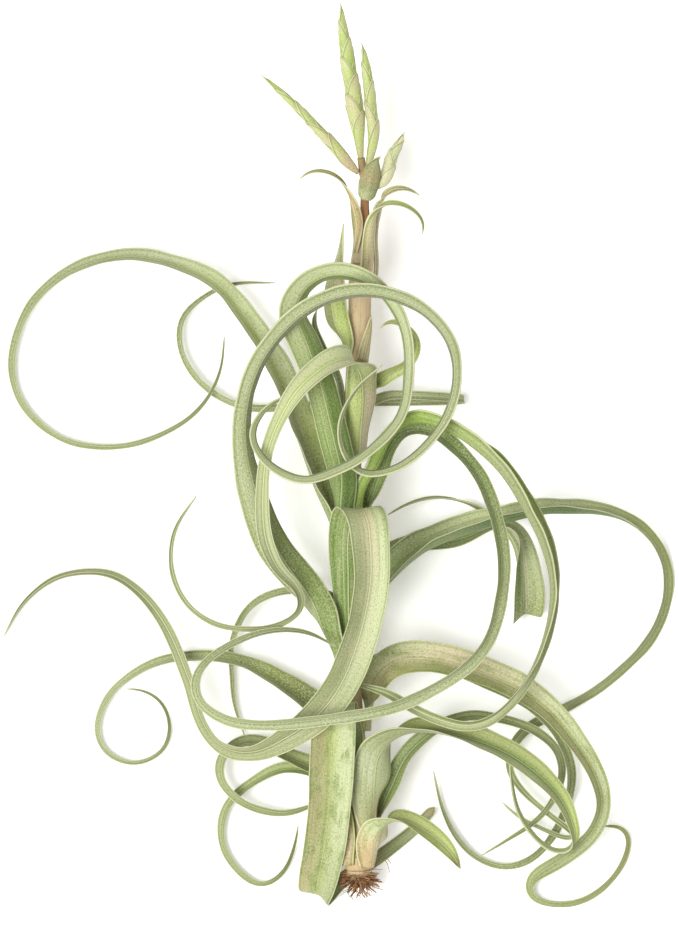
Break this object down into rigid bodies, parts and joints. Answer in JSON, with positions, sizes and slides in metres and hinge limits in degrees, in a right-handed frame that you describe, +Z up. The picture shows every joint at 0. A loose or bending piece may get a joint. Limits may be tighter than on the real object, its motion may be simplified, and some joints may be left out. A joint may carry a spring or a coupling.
{
  "type": "curly-leaved air plant",
  "caption": "Air plant lying on its side: long folded leaves that arch and curl into loops round a bare stem, slim flower spikes at one end, a root tuft at the other.",
  "frame": {"origin": "middle of the plant's box seen from above, on the surface it lies on", "axes": "+Y along the stem from the root tuft to the flower spikes, +X to the right seen from above, +Z up"},
  "size_m": [0.3376, 0.4556, 0.0802],
  "materials": {
    "stem": "dry tan stem, warm and slightly streaked",
    "sage": "matt grey-green leaf with pale scales and fine length-wise stripes",
    "green": "satin mid-green leaf with a light edge line",
    "cream": "matt cream to pale green leaf with faint warm streaks",
    "bright": "satin yellow-green leaf, paler towards its tip",
    "mottled": "matt pale leaf mottled with green patches",
    "olive": "matt olive to tan leaf",
    "tan": "matt tan leaf with olive mottling and a yellowish edge",
    "bract": "pale yellow-green bract with a thin cream edge",
    "root": "dry reddish-brown wiry root"
  },
  "bodies": {
    "root": {"stem": "stem", "leaf_great_left": "sage", "leaf_grand_curl": "sage", "leaf_broad_arch": "green", "leaf_pale_fold": "cream", "leaf_bright_right": "bright", "leaf_mid_right": "sage", "leaf_front_fold": "cream", "leaf_front_hanging": "mottled", "leaf_left_curl": "sage", "leaf_low_left": "olive", "leaf_bottom_left": "bright", "leaf_thin_left": "sage", "leaf_back_straight": "sage", "leaf_olive_hook": "olive", "leaf_stem_left": "olive", "leaf_stem_dark": "green", "leaf_great_right": "green", "leaf_tan_right": "tan", "leaf_low_arch": "bright", "leaf_low_thin": "green", "leaf_low_sickle": "sage", "leaf_basal_right": "olive", "leaf_basal_left": "tan", "leaf_back_hanging": "sage", "bract_leaf_left": "olive", "bract_leaf_right_low": "bract", "bract_leaf_right_high": "sage", "bract_front_dark": "green", "spike_main": "bract", "spike_right": "bract", "spike_left": "bract", "spike_pale": "bract", "root_tuft": "root"}
  },
  "joints": []
}
